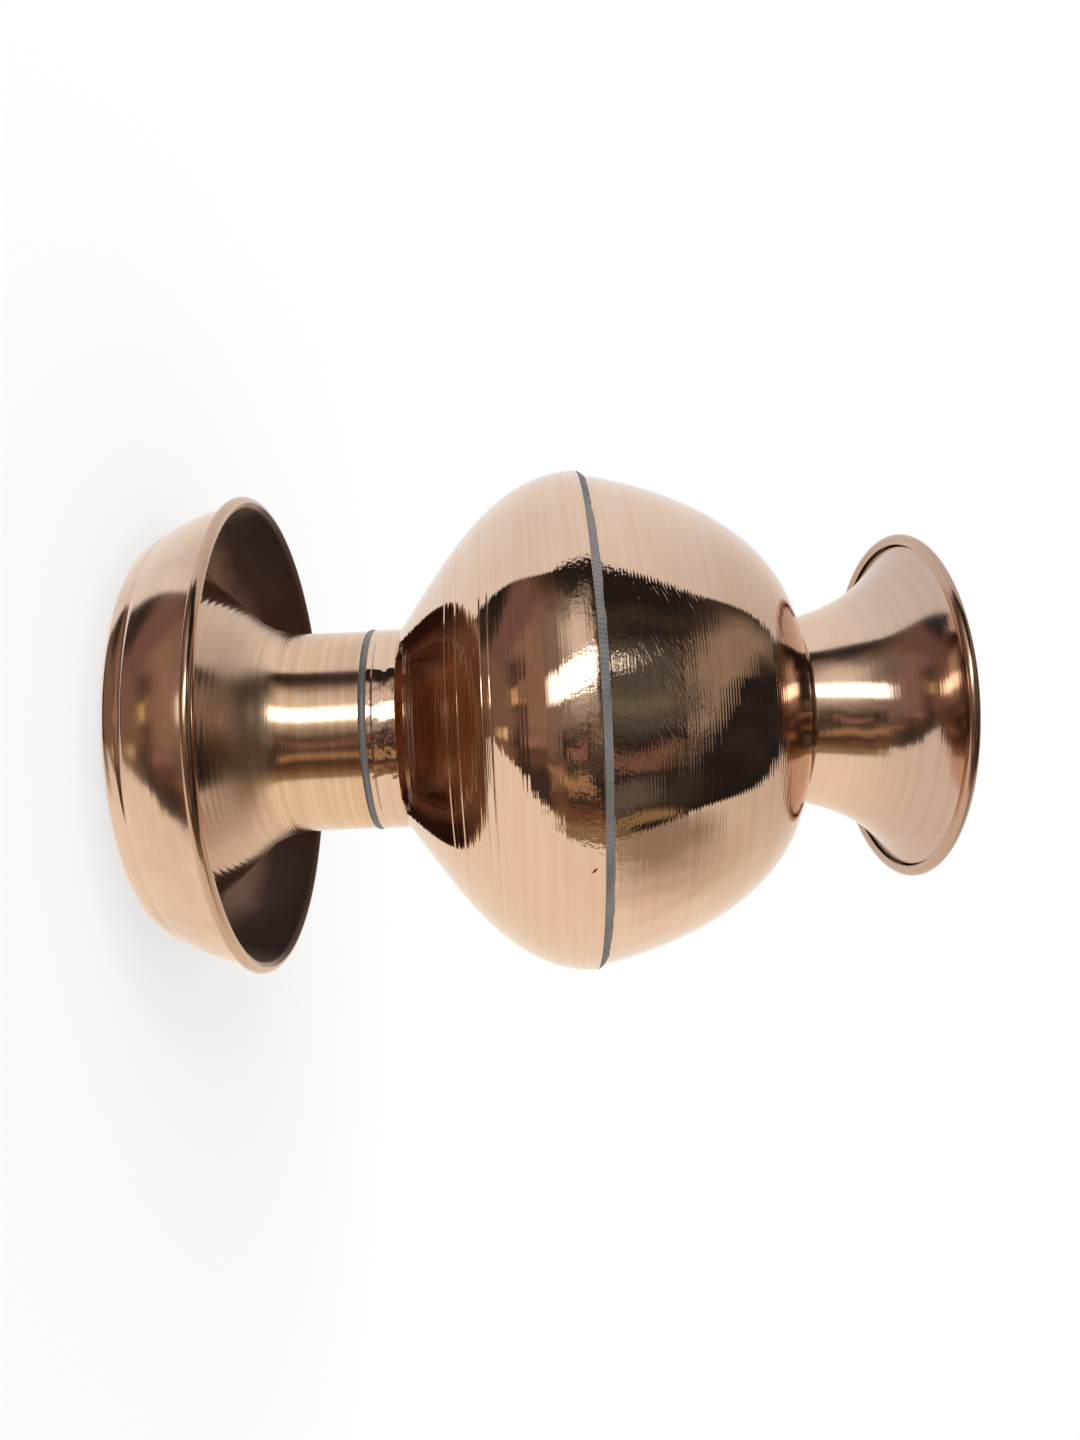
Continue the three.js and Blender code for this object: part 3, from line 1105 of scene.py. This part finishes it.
def surroundings_material():
    material, tree, output = new_material("tent_and_room")
    material.cycles.emission_sampling = "NONE"
    place_on = add(tree, "ShaderNodeTexCoord").outputs["Object"]
    direction = add(tree, "ShaderNodeVectorMath", {"operation": "NORMALIZE"}, Vector=place_on).outputs[0]
    split = add(tree, "ShaderNodeSeparateXYZ", Vector=direction)
    forward = maths(tree, "MULTIPLY", split.outputs["Y"], -1.0)
    turn = maths(tree, "DIVIDE", maths(tree, "ARCTAN2", split.outputs["X"], forward), DEGREE)
    rise = maths(tree, "DIVIDE", maths(tree, "ARCSINE", split.outputs["Z"]), DEGREE)

    # The tent is warmer on one side, and dimmer towards its top.
    warmth = ramp(tree, split.outputs["X"], *tent_sides)
    tent = mix_colour(tree, warmth, (*tent_cool, 1), (*tent_warm, 1))
    dimness = ramp(tree, rise, *tent_top_rises, 0.0, tent_top_share)
    tent = mix_colour(tree, dimness, tent, (*tent_top, 1))

    # The room is dark, with clutter whose edges wander.
    clutter = ramp(tree, noise_of(tree, direction, clutter_scale, detail=3.0), *clutter_noise)
    room = mix_colour(tree, clutter, (*room_dark, 1), (*room_clutter, 1))
    wander = noise_of(tree, direction, sway_scale, detail=5.0)
    sway = maths(tree, "MULTIPLY_ADD", wander, 2 * clutter_sway, -clutter_sway)
    swayed_turn = maths(tree, "ADD", turn, sway)
    swayed_rise = maths(tree, "SUBTRACT", rise, sway)
    tent = patched(tree, tent, swayed_turn, swayed_rise, tent_patches)
    room = patched(tree, room, swayed_turn, swayed_rise, room_patches)
    room = patched(tree, room, turn, rise, windows)

    colour = mix_colour(tree, opening_share(tree, turn, rise), tent, room)
    shader = add(tree, "ShaderNodeEmission", Color=colour)
    tree.links.new(shader.outputs[0], output.inputs["Surface"])
    return material


def patched(tree, colour, turn, rise, patches):
    """A colour with soft-edged patches laid over it. A patch leans about the middle of its rises."""
    for patch in patches:
        from_middle = maths(tree, "SUBTRACT", rise, sum(patch.rises) / 2)
        leaning = maths(tree, "MULTIPLY_ADD", from_middle, -patch.lean, turn)
        share = soft_patch(tree, leaning, rise, patch.turns, patch.rises, *patch.edges)
        colour = mix_colour(tree, share, colour, (*patch.light, 1))
    return colour


def opening_share(tree, turn, rise):
    """1 in the tent's opening and 0 on the tent. The opening is wider towards the top and the bottom."""
    total = 0.0
    for quarter in opening_quarters:
        outwards = maths(tree, "MULTIPLY", turn, float(quarter.side))
        upwards = maths(tree, "MULTIPLY", rise, float(quarter.half))
        beyond = maths(tree, "MAXIMUM", maths(tree, "SUBTRACT", outwards, quarter.edge_turn), 0.0)
        lean = maths(tree, "SQRT", maths(tree, "DIVIDE", beyond, quarter.turn_span))
        limit = maths(tree, "MULTIPLY_ADD", lean, quarter.rise_span, quarter.edge_rise)
        limit = maths(tree, "MINIMUM", limit, opening_crown)
        inner_turn = quarter.edge_turn - opening_edge
        outer_turn = quarter.edge_turn + opening_edge
        between = ramp(tree, outwards, inner_turn, outer_turn, 1.0, 0.0)
        above = ramp(tree, maths(tree, "SUBTRACT", upwards, limit), -opening_edge, opening_edge)
        on_side = maths(tree, "GREATER_THAN", outwards, 0.0)
        in_half = maths(tree, "GREATER_THAN", upwards, 0.0)
        here = maths(tree, "MULTIPLY", on_side, in_half)
        share = maths(tree, "MULTIPLY", maths(tree, "MAXIMUM", between, above), here)
        total = maths(tree, "ADD", total, share)
    return total


def make_floor():
    """A wide white floor, whose far part fades into the background."""
    mesh = bpy.data.meshes.new("floor")
    corners = [(x * floor_reach, y * floor_reach, 0) for x, y in ((-1, -1), (1, -1), (1, 1), (-1, 1))]
    mesh.from_pydata(corners, [], [(0, 1, 2, 3)])
    material, tree, output = new_material("pale_floor")
    place_on = add(tree, "ShaderNodeTexCoord").outputs["Object"]
    distance = add(tree, "ShaderNodeVectorMath", {"operation": "LENGTH"}, Vector=place_on).outputs["Value"]
    near = add(tree, "ShaderNodeBsdfDiffuse", Color=(*floor_colour, 1))
    far = add(tree, "ShaderNodeEmission", Color=white, Strength=1.0)
    blend = tree.nodes.new("ShaderNodeMixShader")
    tree.links.new(ramp(tree, distance, *floor_fade, floor_glow, 1.0), blend.inputs[0])
    tree.links.new(near.outputs[0], blend.inputs[1])
    tree.links.new(far.outputs[0], blend.inputs[2])
    tree.links.new(blend.outputs[0], output.inputs["Surface"])
    floor = stage_object("floor", mesh, material)
    floor.visible_glossy = False


def make_light():
    """A white world, at full strength only where it is seen, and one soft lamp."""
    world = bpy.data.worlds.new("studio")
    bpy.context.scene.world = world
    world.use_nodes = True
    tree = world.node_tree
    tree.nodes.clear()
    path = tree.nodes.new("ShaderNodeLightPath")
    seen = maths(tree, "ADD", path.outputs["Is Camera Ray"], path.outputs["Is Glossy Ray"])
    seen = maths(tree, "ADD", seen, path.outputs["Is Transmission Ray"])
    strength = ramp(tree, seen, 0.0, 1.0, world_strength, 1.0)
    shader = add(tree, "ShaderNodeBackground", Color=white, Strength=strength)
    output = tree.nodes.new("ShaderNodeOutputWorld")
    tree.links.new(shader.outputs[0], output.inputs["Surface"])

    lamp = bpy.data.lights.new("soft_lamp", "AREA")
    lamp.size = lamp_size
    lamp.energy = lamp_energy
    light = bpy.data.objects.new("soft_lamp", lamp)
    facing = (-lamp_stand).to_track_quat("-Z", "Y").to_matrix().to_4x4()
    light.matrix_world = Matrix.Translation(lamp_stand) @ facing
    light.visible_glossy = False
    bpy.context.scene.collection.objects.link(light)


make_camera()
make_surroundings()
make_floor()
make_light()
bpy.context.scene.view_settings.view_transform = "Standard"
